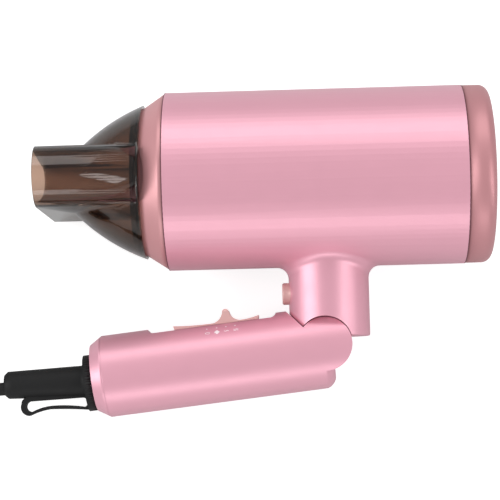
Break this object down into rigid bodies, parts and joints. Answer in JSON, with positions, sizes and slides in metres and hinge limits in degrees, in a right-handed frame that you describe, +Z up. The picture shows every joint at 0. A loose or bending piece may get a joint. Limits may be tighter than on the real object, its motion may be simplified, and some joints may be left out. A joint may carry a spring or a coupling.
{
  "type": "hair dryer",
  "caption": "Folding hair dryer lying on its side, with a clip-on flat-slot nozzle, a slide switch, a fold-release button, a hanging loop and a wound mains cord.",
  "frame": {"origin": "centre of the dryer's own footprint (cord left out), on the surface it lies on", "axes": "+Z up; the barrel lies along X with its air outlet towards -X, and the folded handle lies on the -Y side"},
  "size_m": [0.364, 0.1556, 0.084],
  "materials": {
    "pink_plastic": "satin",
    "rose_gold_plastic": "satin metallic paint",
    "dark_plastic": "satin",
    "black_rubber": "soft matte",
    "smoked_plastic": "smoked, clear",
    "mica_board": "matte",
    "bright_steel": "bright",
    "bronze_bush": "satin",
    "green_board": "matte",
    "resistance_wire": "dull",
    "wire_insulation": "satin",
    "plug_black": "satin",
    "pin_brass": "bright"
  },
  "bodies": {
    "barrel": {"barrel_shell": "pink_plastic", "front_ring": "rose_gold_plastic", "rear_ring": "rose_gold_plastic", "outlet_grille": "dark_plastic", "inlet_grille": "dark_plastic", "inlet_filter": "dark_plastic", "fan_duct": "dark_plastic", "hinge_lug": "pink_plastic", "motor_end_cap": "dark_plastic", "thermostat": "dark_plastic", "motor_magnets": "dark_plastic", "motor_can": "bright_steel", "hinge_washers": "bright_steel", "button_spring": "bright_steel", "thermal_fuse": "bright_steel", "motor_bushes": "bronze_bush", "motor_board": "green_board", "board_diodes": "dark_plastic", "heater_liner": "mica_board", "heater_boards": "mica_board", "heater_coils": "resistance_wire", "neck_wires": "wire_insulation"},
    "button": {"release_button": "rose_gold_plastic"},
    "handle": {"handle_shell_near": "pink_plastic", "handle_shell_far": "pink_plastic", "handle_screws": "bright_steel", "hinge_pin": "bright_steel", "handle_end_cap": "pink_plastic", "switch_body": "dark_plastic", "switch_board": "green_board", "handle_wires": "wire_insulation", "cord_clamp": "dark_plastic", "strain_relief": "black_rubber", "hanging_loop": "black_rubber", "power_cord": "black_rubber", "cord_coil": "black_rubber", "coil_tie": "black_rubber", "cord_tail": "black_rubber", "plug_body": "plug_black", "plug_pins": "pin_brass"},
    "switch": {"switch_slider": "rose_gold_plastic"},
    "nozzle_grip": {"retainer_ring": "bright_steel"},
    "nozzle": {"nozzle": "smoked_plastic", "nozzle_collar": "dark_plastic"},
    "fan": {"fan": "dark_plastic", "motor_rotor": "bright_steel", "motor_shaft": "bright_steel"}
  },
  "joints": [
    {"name": "handle_fold", "type": "hinge", "parent": "barrel", "child": "handle", "pos_m": [0.03521, -0.04332, 0.02232], "axis": [0, -0.2511, 0.968], "range_deg": [0, 83.8]},
    {"name": "release_button_press", "type": "slide", "parent": "barrel", "child": "button", "axis": [1, 0, 0], "range_m": [0, 0.0022], "stiffness_N_per_m": 600, "springref_m": -0.002, "deforming": ["button_spring"]},
    {"name": "switch_slide", "type": "slide", "parent": "handle", "child": "switch", "axis": [0.9942, 0.1045, 0.0271], "range_m": [-0.0088, 0.0044]},
    {"name": "nozzle_turn", "type": "hinge", "parent": "barrel", "child": "nozzle_grip", "pos_m": [-0.04209, 0.03257, 0.042], "axis": [1, 0, 0], "continuous": true},
    {"name": "nozzle_pull_off", "type": "slide", "parent": "nozzle_grip", "child": "nozzle", "axis": [-1, 0, 0], "range_m": [0, 0.025]},
    {"name": "fan_spin", "type": "hinge", "parent": "barrel", "child": "fan", "pos_m": [0.08491, 0.03257, 0.042], "axis": [1, 0, 0], "continuous": true}
  ]
}
